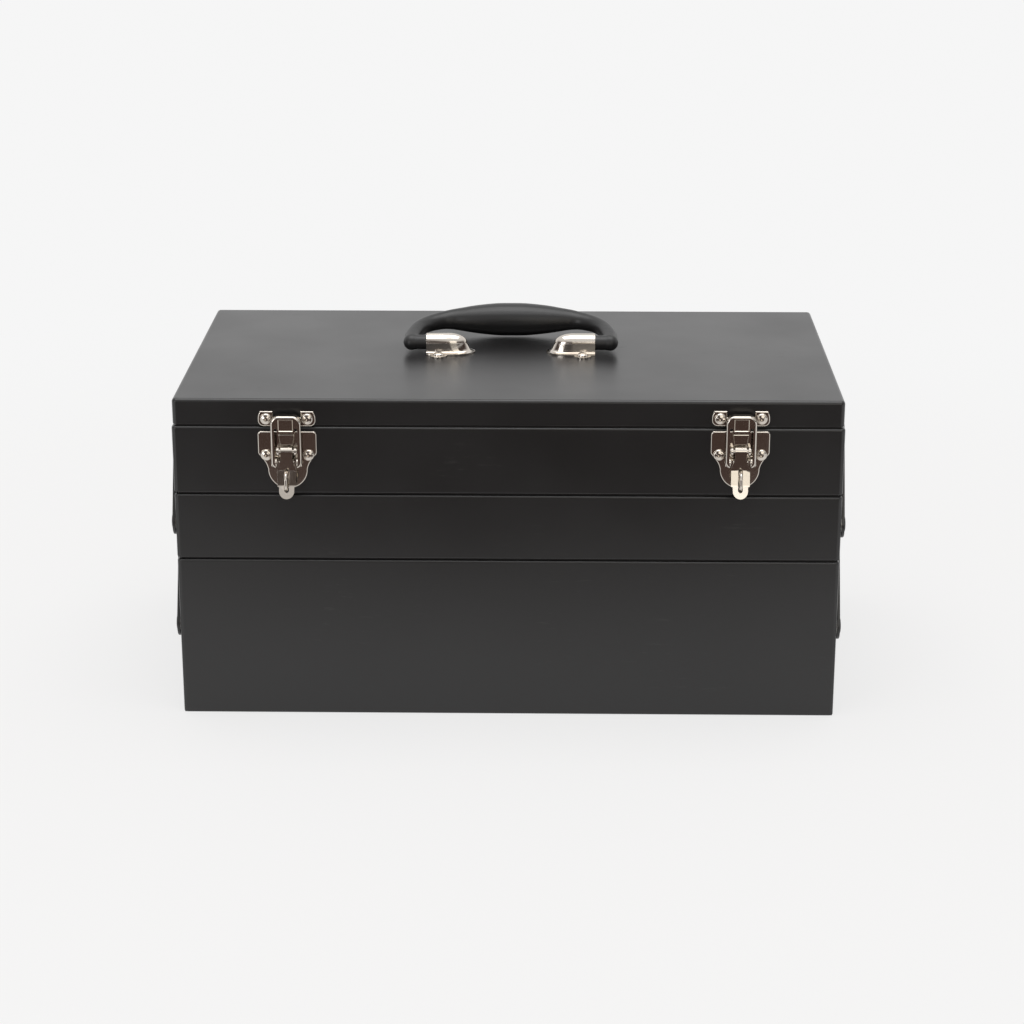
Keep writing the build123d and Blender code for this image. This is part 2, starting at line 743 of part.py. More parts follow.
def handle():
    """A moulded grip on two bowed legs whose feet turn inward as trunnions under the brackets."""
    rise = grip_centre_radius - grip_end_radius
    profile = Polyline((grip_half_length, grip_end_radius), (grip_half_length, 0),
                       (-grip_half_length, 0), (-grip_half_length, grip_end_radius))
    crown = ThreePointArc((-grip_half_length, grip_end_radius), (0, grip_end_radius + rise),
                          (grip_half_length, grip_end_radius))
    grip = revolve(make_face(profile + crown), Axis.X)
    piece = Pos(0, handle_reach, 0) * grip
    foot_x = bracket_outer_x + handle_foot_overhang - leg_radius
    path = ThreePointArc((grip_half_length, handle_reach, 0), (leg_bow_x, leg_bow_reach, 0), (foot_x, 0, 0))
    leg = sweep(Plane(origin=path @ 0, z_dir=path % 0) * Circle(leg_radius), path)
    leg += Pos(grip_half_length, handle_reach, 0) * Sphere(grip_end_radius)
    leg += Pos(foot_x, 0, 0) * Sphere(leg_radius)
    foot_start = bracket_outer_x + handle_side_clearance
    leg += rod_x(handle_foot_radius, foot_start, foot_x, 0, 0)
    trunnion_end = bracket_outer_x - handle_trunnion_length
    trunnion = rod_x(handle_foot_radius, trunnion_end, foot_start, 0, 0)
    leg += chamfer(trunnion.edges().group_by(Axis.X)[0], 1.0)
    piece += leg + mirror(leg, about=Plane.YZ)
    return Pos(0, 0, handle_pivot_z) * Rot(handle_tilt, 0, 0) * piece


# --- write every piece ---

base_walls = tier_walls(0, base_height, base_pivots)
save(base_walls, "base_walls")
save(tier_floor(0), "base_floor")
divider_y = inner_y - divider_end_clearance
base_plates = cross_dividers(0, base_divider_height, base_compartments, -divider_y, divider_y)
save(Compound(children=base_plates), "base_divider")
save_rivets_and_washers("base", base_pivots)

middle_pivots = middle_top_pivots + middle_low_pivots
save(tier_walls(middle_low, middle_high, middle_pivots), "middle_tray_walls")
save(tier_floor(middle_low), "middle_tray_floor")
middle_plates = cross_dividers(
    middle_low, middle_divider_height, middle_compartments, -divider_y, divider_y
)
save(Compound(children=middle_plates), "middle_tray_dividers")
save_rivets_and_washers("middle_tray", middle_pivots)

upper_walls = tier_walls(upper_low, upper_high, upper_pivots)
for latch in latches.values():
    for u, z in plate_rivet_places(latch):
        upper_walls -= front_hole(latch, u, z)
save(upper_walls, "upper_tray_walls")
save(tier_floor(upper_low), "upper_tray_floor")
half_divider = divider_sheet / 2
long_x = inner_x - divider_end_clearance
long_low = (-long_x, -half_divider, upper_low + sheet)
long_high = (long_x, half_divider, upper_low + sheet + upper_divider_height)
save(block(long_low, long_high), "upper_tray_long_divider")
row_gap = half_divider + divider_end_clearance
for row, y_from, y_to in (("front", -divider_y, -row_gap), ("rear", row_gap, divider_y)):
    plates = cross_dividers(upper_low, upper_divider_height, upper_compartments, y_from, y_to)
    save(Compound(children=plates), "upper_tray_" + row + "_dividers")
save_rivets_and_washers("upper_tray", upper_pivots)

for index, place in enumerate(("front", "rear")):
    low_y, low_z = base_pivots[index]
    high_y, high_z = middle_top_pivots[index]
    for side, piece in zip(("right", "left"), both_sides(arm(low_y, low_z, high_y, high_z))):
        save(piece, "lower_" + place + "_arm_" + side)
    low_y, low_z = middle_low_pivots[index]
    high_y, high_z = upper_pivots[index]
    for side, piece in zip(("right", "left"), both_sides(arm(low_y, low_z, high_y, high_z))):
        save(piece, "upper_" + place + "_arm_" + side)

save(lid_shell(), "lid_shell")
save(tray_leaf(), "tray_hinge_leaf")
save(lid_leaf(), "lid_hinge_leaf")
save(hinge_pin(), "hinge_pin")
for side, piece in zip(("right", "left"), both_sides(right_bracket())):
    save(piece, side + "_handle_bracket")
save(Compound(children=bracket_rivets()), "handle_bracket_rivets")
save(handle(), "handle")

for side, latch in latches.items():
    name = side + "_latch_"
    save(latch_plate(latch), name + "plate")
    depth = latch_sheet + sheet
    plate_rivets = [
        front_rivet(latch, u, z, latch_sheet, depth) for u, z in plate_rivet_places(latch)
    ]
    save(Compound(children=plate_rivets), name + "plate_rivets")
    save(staple(latch), side + "_padlock_staple")
    save(lever(latch), name + "lever")
    ear_outer = lever_ear_inner + latch_sheet
    save(pivot_pin(latch, lever_pin_radius, ear_outer, latch.pivot_z), name + "lever_pin")
    save(claw(latch), name + "claw")
    save(pivot_pin(latch, claw_pin_radius, claw_half_width, latch.claw_z), name + "claw_pin")
    save(keeper(latch), name + "keeper")
    keeper_face = latch_sheet - lid_setback
    depth = latch_sheet + 2 * sheet
    keeper_rivets = [
        front_rivet(latch, u, z, keeper_face, depth) for u, z in keeper_rivet_places(latch)
    ]
    save(Compound(children=keeper_rivets), name + "keeper_rivets")
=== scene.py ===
# %% [markdown]
# # A black sheet-steel case with swinging trays
#
# This lesson dresses a cantilever case: a deep base, two trays on side arms, a hinged lid, a
# folding handle and two draw latches. The solids come in as a fixed frame. Each visible piece is
# then shaped again with ordinary modelling tools, or carried over and given its finish.

# %% Bring in the frame
from math import cos, radians, sin

import bpy
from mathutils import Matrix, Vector


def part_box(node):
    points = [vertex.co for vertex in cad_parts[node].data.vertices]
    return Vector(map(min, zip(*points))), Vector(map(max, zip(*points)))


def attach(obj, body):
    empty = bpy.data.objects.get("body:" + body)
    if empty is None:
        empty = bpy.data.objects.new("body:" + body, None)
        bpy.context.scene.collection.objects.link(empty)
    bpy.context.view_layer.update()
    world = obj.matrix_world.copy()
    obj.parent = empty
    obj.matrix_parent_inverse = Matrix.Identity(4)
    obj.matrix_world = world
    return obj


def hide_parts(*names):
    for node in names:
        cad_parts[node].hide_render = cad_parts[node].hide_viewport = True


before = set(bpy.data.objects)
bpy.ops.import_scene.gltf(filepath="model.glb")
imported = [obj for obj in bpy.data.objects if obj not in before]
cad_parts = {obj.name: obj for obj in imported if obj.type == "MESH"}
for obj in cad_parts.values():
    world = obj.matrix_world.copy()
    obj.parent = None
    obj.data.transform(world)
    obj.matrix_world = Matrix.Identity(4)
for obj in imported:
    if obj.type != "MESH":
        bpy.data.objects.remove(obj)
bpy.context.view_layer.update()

MM = 0.001

# %% [markdown]
# ## The bench tools
#
# An operator works on whatever is selected, so every piece starts from an empty selection. Faces,
# edges and corners are then picked by where they are, which keeps the steps readable and makes
# them work again if a size changes.

# %% Pick, place and finish
def near(a, b, slack=0.02 * MM):
    return abs(a - b) < slack


def begin(name):
    """Names the new primitive, fixes its place in its mesh and opens it for editing."""
    piece = bpy.context.object
    piece.name = name
    bpy.ops.object.transform_apply(location=True, rotation=True, scale=True)
    bpy.ops.object.mode_set(mode="EDIT")
    return piece


def clear_selection():
    if bpy.context.object and bpy.context.object.mode != "OBJECT":
        bpy.ops.object.mode_set(mode="OBJECT")
    bpy.ops.object.select_all(action="DESELECT")


def activate(piece):
    clear_selection()
    piece.select_set(True)
    bpy.context.view_layer.objects.active = piece


def pick(kind, wanted):
    """Selects the faces, edges or corners whose middle and direction pass a test."""
    mesh = bpy.context.object.data
    bpy.ops.mesh.select_mode(type=kind)
    bpy.ops.mesh.select_all(action="DESELECT")
    bpy.ops.object.mode_set(mode="OBJECT")
    if kind == "FACE":
        for face in mesh.polygons:
            face.select = wanted(face.center, face.normal)
    elif kind == "EDGE":
        for edge in mesh.edges:
            a, b = (mesh.vertices[index].co for index in edge.vertices)
            edge.select = wanted((a + b) / 2, b - a)
    else:
        for corner in mesh.vertices:
            corner.select = wanted(corner.co, corner.normal)
    bpy.ops.object.mode_set(mode="EDIT")


def push(step):
    """Extrudes what is selected by one step."""
    bpy.ops.mesh.extrude_region_move(TRANSFORM_OT_translate={"value": tuple(step)})


def block(name, low, high):
    """A block between two corners, open for editing."""
    clear_selection()
    low, high = Vector(low), Vector(high)
    bpy.ops.mesh.primitive_cube_add(size=1, location=(low + high) / 2, scale=high - low)
    return begin(name)


def rod(name, radius, start, end, sides=32):
    """A rod between two points."""
    clear_selection()
    start, end = Vector(start), Vector(end)
    along = end - start
    bpy.ops.mesh.primitive_cylinder_add(
        vertices=sides, radius=radius, depth=along.length, location=(start + end) / 2,
        rotation=along.to_track_quat("Z", "Y").to_euler(),
    )
    return begin(name)


def traced(name, corners, depth):
    """A plate: its outline walked corner by corner, filled, and pulled out along depth."""
    clear_selection()
    corners = [Vector(corner) for corner in corners]
    bpy.ops.mesh.primitive_plane_add(size=MM, location=corners[0])
    piece = begin(name)
    bpy.ops.mesh.select_mode(type="VERT")
    bpy.ops.mesh.select_all(action="SELECT")
    bpy.ops.mesh.merge(type="CENTER")
    bpy.ops.mesh.select_all(action="SELECT")
    for here, there in zip(corners, corners[1:]):
        push(there - here)
    pick("VERT", lambda place, normal: near((place - corners[0]).length, 0)
         or near((place - corners[-1]).length, 0))
    bpy.ops.mesh.edge_face_add()
    bpy.ops.mesh.select_all(action="SELECT")
    bpy.ops.mesh.edge_face_add()
    push(depth)
    tidy_normals()
    return piece


def tidy_normals():
    bpy.ops.mesh.select_all(action="SELECT")
    bpy.ops.mesh.remove_doubles(threshold=0.002 * MM)
    bpy.ops.mesh.normals_make_consistent(inside=False)


def apply_modifier(piece, kind, **values):
    activate(piece)
    modifier = piece.modifiers.new(kind.lower(), kind)
    for key, value in values.items():
        setattr(modifier, key, value)
    bpy.ops.object.modifier_apply(modifier=modifier.name)


def roll_edges(piece, depth_y, radius, segments=4):
    """Rolls over the outline of a plate, on its face at one depth."""
    activate(piece)
    bpy.ops.object.mode_set(mode="EDIT")
    pick("EDGE", lambda place, along: near(place.y, depth_y) and near(along.y, 0))
    bpy.ops.mesh.bevel(offset=radius, segments=segments)
    clear_selection()


def combine(piece, tool, how):
    """Joins, cuts or keeps the overlap of two solids, and clears the tool away."""
    clear_selection()
    apply_modifier(piece, "BOOLEAN", operation=how, object=tool, solver="EXACT")
    bpy.data.objects.remove(tool)


def soften(piece, width, segments=3, angle=30):
    """Rounds every sharp edge, as tumbling and plating do."""
    clear_selection()
    apply_modifier(piece, "BEVEL", width=width, segments=segments, limit_method="ANGLE",
                   angle_limit=radians(angle), miter_outer="MITER_ARC")


def smooth(piece, angle=35):
    """Smooth shading that keeps true edges crisp and large faces flat."""
    activate(piece)
    bpy.ops.object.shade_smooth_by_angle(angle=radians(angle))
    apply_modifier(piece, "WEIGHTED_NORMAL", keep_sharp=True, weight=80)


def fit(piece, body, finish, *nodes):
    """Gives a finished piece its material, its body and the solids that it stands for."""
    clear_selection()
    piece.data.materials.clear()
    piece.data.materials.append(materials[finish])
    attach(piece, body)
    if nodes:
        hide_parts(*nodes)
    print(f"{piece.name}: {len(piece.data.polygons)} faces")
    return piece


# %% [markdown]
# ## Finishes
#
# Powder coat is sprayed dry and melts into a skin with a very fine orange peel. A fine noise, fed to a
# bump, gives that skin, and a slow broad one varies its gloss the way handling does. The same grain
# serves the moulded handle at a coarser setting, so it is one shared group with its own values in each
# finish.

# %% A shared grain
def new_group(name, inputs, outputs):
    group = bpy.data.node_groups.new(name, "ShaderNodeTree")
    for label, kind, value in inputs:
        socket = group.interface.new_socket(label, in_out="INPUT", socket_type=kind)
        if value is not None:
            socket.default_value = value
    for label, kind in outputs:
        group.interface.new_socket(label, in_out="OUTPUT", socket_type=kind)
    start = group.nodes.new("NodeGroupInput")
    end = group.nodes.new("NodeGroupOutput")
    return group, start, end


def add(tree, kind, **values):
    """Adds a node; values name its settings, or its inputs if they start with in_."""
    node = tree.nodes.new(kind)
    for key, value in values.items():
        if key.startswith("in_"):
            node.inputs[key[3:].replace("_", " ")].default_value = value
        else:
            setattr(node, key, value)
    return node


def surface_grain():
    group, start, end = new_group(
        "surface_grain",
        [("Vector", "NodeSocketVector", None), ("Fine Scale", "NodeSocketFloat", 900.0),
         ("Broad Scale", "NodeSocketFloat", 9.0)],
        [("Height", "NodeSocketFloat"), ("Broad", "NodeSocketFloat")],
    )
    fine = add(group, "ShaderNodeTexNoise", in_Detail=2.0, in_Roughness=0.5)
    broad = add(group, "ShaderNodeTexNoise", in_Detail=3.0, in_Roughness=0.55)
    for noise, scale in ((fine, "Fine Scale"), (broad, "Broad Scale")):
        group.links.new(start.outputs["Vector"], noise.inputs["Vector"])
        group.links.new(start.outputs[scale], noise.inputs["Scale"])
    group.links.new(fine.outputs["Fac"], end.inputs["Height"])
    group.links.new(broad.outputs["Fac"], end.inputs["Broad"])
    return group


def scuff_marks():
    """Short pale rubs: a stretched noise, cut to its peaks, inside patches of a slow noise."""
    group, start, end = new_group(
        "scuff_marks",
        [("Vector", "NodeSocketVector", None), ("Amount", "NodeSocketFloat", 0.5)],
        [("Mask", "NodeSocketFloat")],
    )
    stretch = add(group, "ShaderNodeMapping", in_Scale=(60.0, 60.0, 420.0),
                  in_Rotation=(0.1, 0.25, 0.0))
    streaks = add(group, "ShaderNodeTexNoise", in_Scale=1.0, in_Detail=4.0, in_Roughness=0.7)
    patches = add(group, "ShaderNodeTexNoise", in_Scale=11.0, in_Detail=1.0)
    streak_cut = add(group, "ShaderNodeMapRange", in_From_Min=0.6, in_From_Max=0.78)
    patch_cut = add(group, "ShaderNodeMapRange", in_From_Min=0.56, in_From_Max=0.68)
    both = add(group, "ShaderNodeMath", operation="MULTIPLY")
    amount = add(group, "ShaderNodeMath", operation="MULTIPLY")
    links = group.links
    links.new(start.outputs["Vector"], stretch.inputs["Vector"])
    links.new(stretch.outputs["Vector"], streaks.inputs["Vector"])
    links.new(start.outputs["Vector"], patches.inputs["Vector"])
    links.new(streaks.outputs["Fac"], streak_cut.inputs["Value"])
    links.new(patches.outputs["Fac"], patch_cut.inputs["Value"])
    links.new(streak_cut.outputs["Result"], both.inputs[0])
    links.new(patch_cut.outputs["Result"], both.inputs[1])
    links.new(both.outputs["Value"], amount.inputs[0])
    links.new(start.outputs["Amount"], amount.inputs[1])
    links.new(amount.outputs["Value"], end.inputs["Mask"])
    return group


grain = surface_grain()
scuffs = scuff_marks()

# %% [markdown]
# Every finish is built on one pattern: Object coordinates feed the grain and the scuffs, the
# scuffs lighten the colour and dull the gloss, and the grain raises a faint bump. What stays the
# same all over the piece is set on the shader's own sockets.

# %% The five finishes
materials = {}


def finish(name, colour, metallic, gloss, grain_scale, grain_height, scuff, scuff_colour,
           **shader_values):
    """gloss is the roughness range that the broad noise moves through."""
    material = bpy.data.materials.new(name)
    material.use_nodes = True
    tree = material.node_tree
    shader = tree.nodes["Principled BSDF"]
    shader.inputs["Metallic"].default_value = metallic
    for label, value in shader_values.items():
        shader.inputs[label.replace("_", " ")].default_value = value
    place = add(tree, "ShaderNodeTexCoord")
    skin = add(tree, "ShaderNodeGroup", node_tree=grain, in_Fine_Scale=grain_scale)
    rubs = add(tree, "ShaderNodeGroup", node_tree=scuffs, in_Amount=scuff)
    tint = add(tree, "ShaderNodeMix", data_type="RGBA")
    tint.inputs["A"].default_value = (*colour, 1.0)
    tint.inputs["B"].default_value = (*scuff_colour, 1.0)
    dull = add(tree, "ShaderNodeMapRange", in_From_Min=0.35, in_From_Max=0.65,
               in_To_Min=gloss[0], in_To_Max=gloss[1])
    rubbed = add(tree, "ShaderNodeMath", operation="MULTIPLY_ADD")
    rubbed.inputs[1].default_value = 0.25
    bump = add(tree, "ShaderNodeBump", in_Strength=1.0, in_Distance=grain_height)
    links = tree.links
    links.new(place.outputs["Object"], skin.inputs["Vector"])
    links.new(place.outputs["Object"], rubs.inputs["Vector"])
    links.new(rubs.outputs["Mask"], tint.inputs["Factor"])
    links.new(tint.outputs["Result"], shader.inputs["Base Color"])
    links.new(skin.outputs["Broad"], dull.inputs["Value"])
    links.new(rubs.outputs["Mask"], rubbed.inputs[0])
    links.new(dull.outputs["Result"], rubbed.inputs[2])
    links.new(rubbed.outputs["Value"], shader.inputs["Roughness"])
    links.new(skin.outputs["Height"], bump.inputs["Height"])
    links.new(bump.outputs["Normal"], shader.inputs["Normal"])
    materials[name] = material
    return material


finish("black_powder_coat", (0.010, 0.0098, 0.0102), 0.0, (0.28, 0.34), 1100.0, 0.012 * MM,
       0.35, (0.06, 0.06, 0.058), IOR=1.54)
finish("grey_powder_coat", (0.17, 0.175, 0.18), 0.0, (0.42, 0.5), 900.0, 0.02 * MM,
       0.4, (0.3, 0.3, 0.3))
finish("nickel_plate", (0.66, 0.61, 0.55), 1.0, (0.10, 0.17), 420.0, 0.002 * MM,
       0.3, (0.45, 0.42, 0.38))
finish("zinc_plate", (0.52, 0.52, 0.50), 1.0, (0.26, 0.36), 600.0, 0.004 * MM,
       0.4, (0.4, 0.4, 0.38))
finish("handle_moulding", (0.011, 0.011, 0.0115), 0.0, (0.34, 0.42), 1500.0, 0.02 * MM,
       0.2, (0.04, 0.04, 0.04))

print("finishes:", ", ".join(materials))

# %% [markdown]
# ## The tiers
#
# Each tier is one strip of steel bent round four sides, with its rim folded in and up, so the
# tier above nests on a raised lip and only a thin dark line shows between them. A block with
# rounded corners is a good start. Its top face is inset for the shoulder and raised for the lip,
# then inset again by the sheet's own thickness and pushed down inside, so the fold comes in a
# few steps. Below the hem the inside is widened again, down to a wall one sheet thick.

# %% Fold a tier from one block
SHEET = 1.0 * MM
CORNER_ROUND = 3.0 * MM
LIP_RISE = 1.2 * MM
LIP_INSET = 2.4 * MM
SHOULDER_ROUND = 1.6 * MM
LOWER_ROUND = 0.9 * MM
HEM_DEPTH = 7.0 * MM


def inside_by(place, half_x, half_y):
    """How far a point lies inside the tier's rounded outline, seen from above."""
    past_x = abs(place.x) - half_x + CORNER_ROUND
    past_y = abs(place.y) - half_y + CORNER_ROUND
    if past_x > 0 and past_y > 0:
        return CORNER_ROUND - Vector((past_x, past_y)).length
    return CORNER_ROUND - max(past_x, past_y)


def upright(place, along):
    return near(along.x, 0) and near(along.y, 0)


def widen(half_x, half_y, step):
    """Moves the selected ring outward by step on every side."""
    grown = ((half_x + step) / half_x, (half_y + step) / half_y, 1)
    bpy.ops.transform.resize(value=grown, center_override=(0, 0, 0))


def round_ring(height, half_x, half_y, inset, radius, segments=4):
    """Rounds the ring of edges at one height and one distance inside the outline."""
    pick("EDGE", lambda place, along: near(place.z, height)
         and near(inside_by(place, half_x, half_y), inset, 0.15 * MM))
    bpy.ops.mesh.bevel(offset=radius, segments=segments)


def fold_tier(name, node, body):
    low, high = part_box(node)
    half_x, half_y = high.x, high.y
    rim = high.z - LIP_RISE
    piece = block(name, low, (half_x, half_y, rim))
    pick("EDGE", upright)
    bpy.ops.mesh.bevel(offset=CORNER_ROUND, segments=8)
    round_ring(low.z, half_x, half_y, 0, LOWER_ROUND, 5)
    pick("FACE", lambda place, normal: normal.z > 0.9)
    bpy.ops.mesh.inset(thickness=LIP_INSET)
    push((0, 0, LIP_RISE))
    bpy.ops.mesh.inset(thickness=SHEET)
    push((0, 0, -LIP_RISE - HEM_DEPTH))
    push((0, 0, 0))
    widen(half_x - LIP_INSET - SHEET, half_y - LIP_INSET - SHEET, LIP_INSET)
    push((0, 0, low.z - rim + HEM_DEPTH))
    pick("FACE", lambda place, normal: near(place.z, low.z))
    bpy.ops.mesh.delete(type="FACE")
    pick("EDGE", lambda place, along: near(place.z, low.z))
    bpy.ops.mesh.bridge_edge_loops()
    round_ring(rim, half_x, half_y, 0, SHOULDER_ROUND, 6)
    round_ring(high.z, half_x, half_y, LIP_INSET, 0.3 * MM, 3)
    round_ring(high.z, half_x, half_y, LIP_INSET + SHEET, 0.3 * MM, 3)
    tidy_normals()
    clear_selection()
    smooth(piece)
    return fit(piece, body, "black_powder_coat", node)


fold_tier("base_shell", "base_walls", "base")
fold_tier("middle_tray_shell", "middle_tray_walls", "middle_tray")
fold_tier("upper_tray_shell", "upper_tray_walls", "upper_tray")

# %% [markdown]
# The lid is a shallow pan turned over. Its top edge is a press radius, wider than the folds, and
# its skirt is hemmed inward, so the same steps run from the underside.

# %% Press the lid
LID_EDGE_ROUND = 2.5 * MM
LID_HEM = 9.5 * MM


def press_lid():
    low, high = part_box("lid_shell")
    half_x, half_y = high.x, high.y
    piece = block("lid_pan", low, high)
    pick("EDGE", upright)
    bpy.ops.mesh.bevel(offset=CORNER_ROUND, segments=8)
    round_ring(high.z, half_x, half_y, 0, LID_EDGE_ROUND, 8)
    pick("FACE", lambda place, normal: normal.z < -0.9)
    bpy.ops.mesh.inset(thickness=2 * SHEET)
    push((0, 0, LID_HEM))
    push((0, 0, 0))
    widen(half_x - 2 * SHEET, half_y - 2 * SHEET, SHEET)
    push((0, 0, high.z - low.z - SHEET - LID_HEM))
    round_ring(low.z, half_x, half_y, 0, 0.4 * MM, 3)
    round_ring(low.z, half_x, half_y, 2 * SHEET, 0.4 * MM, 3)
    tidy_normals()
    clear_selection()
    smooth(piece)
    return fit(piece, "lid", "black_powder_coat", "lid_shell")


press_lid()

# %% [markdown]
# ## The handle
#
# The handle is one moulding: a grip that swells in the middle, two bowed legs, and feet that turn
# inward under the brackets. A curve with its own radius at each point draws the grip and legs, a
# rod and a ball make each foot, and a voxel remesh melts them into one skin with the soft
# fillets that a mould leaves.

# %% Mould the handle
PIVOT = Vector((0, 0, 238.5 * MM))
HANDLE_TILT = radians(6.87)
FOOT_INNER_X = 44.0 * MM
FOOT_X = 72.0 * MM
FOOT_RADIUS = 5.3 * MM
LEG_RADIUS = 6.0 * MM
MOULD_VOXEL = 0.75 * MM
GRIP_TO_LEG = (
    (0, 46, 12.2), (16, 46, 11.6), (32, 45.8, 9.6), (46, 44.8, 7.3), (57, 39.6, 6.3),
    (65.6, 30.6, 6.0), (70.6, 16, 6.0), (72, 0, 6.0),
)


def on_handle(x, reach):
    """A point of the folded handle, from its place across and its distance from the pivot."""
    return PIVOT + Vector((x, reach * cos(HANDLE_TILT), reach * sin(HANDLE_TILT)))


def mould_handle():
    clear_selection()
    bpy.ops.curve.primitive_bezier_curve_add()
    bow = bpy.context.object
    right = [(x * MM, reach * MM, radius * MM) for x, reach, radius in GRIP_TO_LEG]
    left = [(-x, reach, radius) for x, reach, radius in right[:0:-1]]
    spline = bow.data.splines[0]
    spline.bezier_points.add(len(left + right) - 2)
    for point, (x, reach, radius) in zip(spline.bezier_points, left + right):
        point.co = on_handle(x, reach)
        point.radius = radius / MM
        point.handle_left_type = point.handle_right_type = "AUTO"
    spline.resolution_u = 10
    spline.radius_interpolation = "CARDINAL"
    bow.data.dimensions = "3D"
    bow.data.bevel_depth = MM
    bow.data.bevel_resolution = 8
    bow.data.use_fill_caps = True
    bpy.ops.object.convert(target="MESH")
    bow = begin("carry_handle")
    clear_selection()
    feet = []
    for side in (-1, 1):
        inner_end = PIVOT + Vector((side * FOOT_INNER_X, 0, 0))
        outer_end = PIVOT + Vector((side * FOOT_X, 0, 0))
        foot = rod("foot", FOOT_RADIUS, inner_end, outer_end, 48)
        pick("FACE", lambda place, normal: near(place.x, inner_end.x))
        bpy.ops.mesh.bevel(offset=1.0 * MM, segments=3)
        clear_selection()
        bpy.ops.mesh.primitive_uv_sphere_add(segments=48, ring_count=24, radius=LEG_RADIUS,
                                             location=outer_end)
        ball = begin("foot_end")
        clear_selection()
        feet += [foot, ball]
    activate(bow)
    for foot in feet:
        foot.select_set(True)
    bpy.ops.object.join()
    apply_modifier(bow, "REMESH", mode="VOXEL", voxel_size=MOULD_VOXEL)
    apply_modifier(bow, "SMOOTH", factor=0.5, iterations=12)
    activate(bow)
    bpy.ops.object.shade_smooth()
    return fit(bow, "handle", "handle_moulding", "handle")


mould_handle()

# %% [markdown]
# ## The handle's brackets
#
# Each bracket is a pressed saddle: a tunnel over the handle's foot, a nose that falls to the lid,
# and a flange with an ear for a rivet on each side. A quarter of a stretched ball makes the nose,
# its open end is drawn out into the tunnel, its lower edge is drawn down and turned out for the
# flange, and a solidify gives it the strip's thickness.

# %% Press the brackets
STRIP = 1.2 * MM
NOSE_X = 45.0 * MM
NOSE_LENGTH = 13.4 * MM
SADDLE_HALF_WIDTH = 6.8 * MM
EAR_X = 52.0 * MM
EAR_Y = 12.4 * MM
EAR_RADIUS = 6.2 * MM
NECK_START_Y = 7.0 * MM
HAIR = 0.01 * MM


def press_bracket():
    node_low, node_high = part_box("right_handle_bracket")
    lid_top = node_low.z
    outer_x = node_high.x
    arch_z = node_high.z - SADDLE_HALF_WIDTH
    clear_selection()
    bpy.ops.mesh.primitive_uv_sphere_add(segments=48, ring_count=24, radius=1,
                                         location=(NOSE_X, 0, arch_z),
                                         scale=(NOSE_LENGTH, SADDLE_HALF_WIDTH, SADDLE_HALF_WIDTH))
    piece = begin("right_saddle")
    pick("VERT", lambda place, normal: place.x > NOSE_X + HAIR or place.z < arch_z - HAIR)
    bpy.ops.mesh.delete(type="VERT")
    pick("EDGE", lambda place, along: near(place.x, NOSE_X))
    push((outer_x - NOSE_X, 0, 0))
    rim = arch_z
    for next_rim, grow, stretch in ((234.4, 0.0, 1.14), (233.0, 0.35, 1.06), (232.35, 1.1, 1.04)):
        here = rim
        pick("EDGE", lambda place, along: near(place.z, here) and near(along.z, 0)
             and not (near(place.x, outer_x) and near(along.x, 0)))
        push((0, 0, next_rim * MM - rim))
        rim = next_rim * MM
        spread = (SADDLE_HALF_WIDTH + grow * MM) / SADDLE_HALF_WIDTH
        bpy.ops.transform.resize(value=(1, spread, 1), center_override=(NOSE_X, 0, rim))
        pick("VERT", lambda place, normal: near(place.z, rim) and place.x < NOSE_X + HAIR)
        bpy.ops.transform.resize(value=(stretch, 1, 1), center_override=(NOSE_X, 0, rim))
    pick("EDGE", lambda place, along: near(place.z, rim) and near(along.z, 0))
    push((0, 0, lid_top + STRIP - rim))
    bpy.ops.transform.resize(value=(1, 1.36, 1), center_override=(NOSE_X, 0, rim))
    rim = lid_top + STRIP
    pick("VERT", lambda place, normal: near(place.z, rim) and place.x < NOSE_X + HAIR)
    bpy.ops.transform.resize(value=(1.14, 1, 1), center_override=(NOSE_X, 0, rim))
    tidy_normals()
    pick("FACE", lambda place, normal: place.z > arch_z and normal.z < 0)
    if any(face.select for face in bpy.context.object.data.polygons):
        bpy.ops.mesh.select_all(action="SELECT")
        bpy.ops.mesh.flip_normals()
    clear_selection()
    apply_modifier(piece, "SOLIDIFY", thickness=STRIP, offset=-1, use_even_offset=True)
    for side in (-1, 1):
        ear = rod("ear", EAR_RADIUS, (EAR_X, side * EAR_Y, lid_top),
                  (EAR_X, side * EAR_Y, lid_top + STRIP), 48)
        clear_selection()
        neck_low_y, neck_high_y = sorted((side * NECK_START_Y, side * EAR_Y))
        neck = block("neck", (EAR_X - EAR_RADIUS, neck_low_y, lid_top),
                     (EAR_X + EAR_RADIUS, neck_high_y, lid_top + STRIP))
        clear_selection()
        combine(ear, neck, "UNION")
        combine(piece, ear, "UNION")
    soften(piece, 0.28 * MM, 3, 40)
    smooth(piece)
    return piece


def mirrored(piece, name):
    """A copy on the other side of the case, with its faces turned the right way out."""
    activate(piece)
    bpy.ops.object.duplicate()
    copy = bpy.context.object
    copy.name = name
    bpy.ops.transform.resize(value=(-1, 1, 1), center_override=(0, 0, 0))
    bpy.ops.object.transform_apply(location=True, rotation=True, scale=True)
    bpy.ops.object.mode_set(mode="EDIT")
    bpy.ops.mesh.select_all(action="SELECT")
    bpy.ops.mesh.normals_make_consistent(inside=False)
    clear_selection()
    return copy


right_saddle = press_bracket()
left_saddle = mirrored(right_saddle, "left_saddle")
fit(right_saddle, "lid", "nickel_plate", "right_handle_bracket")
fit(left_saddle, "lid", "nickel_plate", "left_handle_bracket")

# %% [markdown]
# ## Rivets
#
# The latches and brackets are held by tubular rivets: a dome with a small hole in its middle. A
# short rod is enough to start: its top edge is rounded into the dome, its top face is inset and
# pushed in for the hole. One is made for each direction, and copied to its places.

